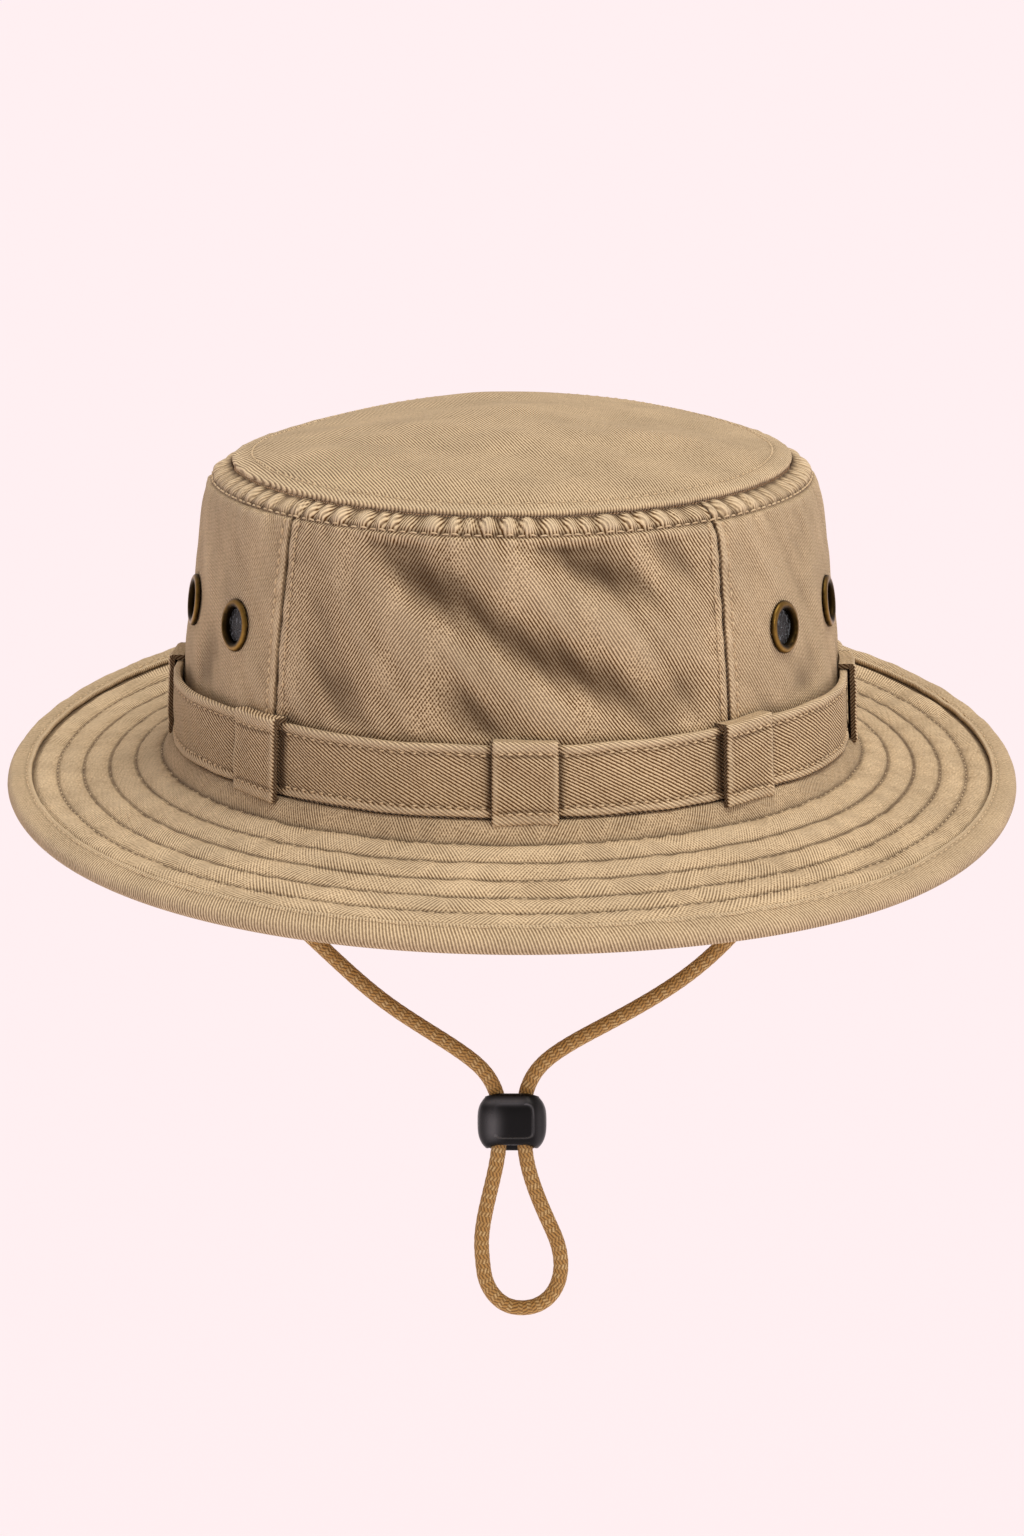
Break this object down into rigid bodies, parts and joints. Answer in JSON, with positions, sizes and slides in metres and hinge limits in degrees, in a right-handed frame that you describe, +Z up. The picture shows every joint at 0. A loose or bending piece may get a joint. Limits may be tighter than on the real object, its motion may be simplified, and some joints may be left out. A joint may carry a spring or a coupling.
{
  "type": "ranger hat",
  "caption": "Soft ranger hat of cotton twill: gathered oval crown with vent eyelets, quilted bound brim, looped hat band and hanging chin cord with lock.",
  "frame": {"origin": "centre of the head opening, level with the lower edge of the hat band", "axes": "+Z up through the crown, -Y towards the face side, +X to the right as seen from the face side"},
  "size_m": [0.272, 0.3, 0.2524],
  "materials": {
    "twill": "washed khaki cotton twill with a visible diagonal weave",
    "twill_trim": "the same twill, folded double as binding, loops and tabs",
    "antique_brass": "antique brass, darkened in the hollows and rubbed bright on the rims",
    "black_mesh": "black knitted mesh",
    "braided_cord": "golden brown braided cord",
    "black_plastic": "black moulded plastic with a fine satin texture"
  },
  "bodies": {
    "root": {"crown_top_panel": "twill", "crown_front_panel": "twill", "crown_right_panel": "twill", "crown_back_panel": "twill", "crown_left_panel": "twill", "brim_quilted": "twill", "brim_binding": "twill_trim", "hat_band": "twill", "band_loop_front": "twill_trim", "band_loop_front_right": "twill_trim", "band_loop_right": "twill_trim", "band_loop_back_right": "twill_trim", "band_loop_back": "twill_trim", "band_loop_back_left": "twill_trim", "band_loop_left": "twill_trim", "band_loop_front_left": "twill_trim", "eyelet_left_front": "antique_brass", "eyelet_left_side": "antique_brass", "eyelet_right_front": "antique_brass", "eyelet_right_side": "antique_brass", "vent_mesh_left_front": "black_mesh", "vent_mesh_left_side": "black_mesh", "vent_mesh_right_front": "black_mesh", "vent_mesh_right_side": "black_mesh", "cord_anchor_left": "twill_trim", "cord_anchor_right": "twill_trim", "chin_cord": "braided_cord", "cord_lock": "black_plastic"}
  },
  "joints": []
}
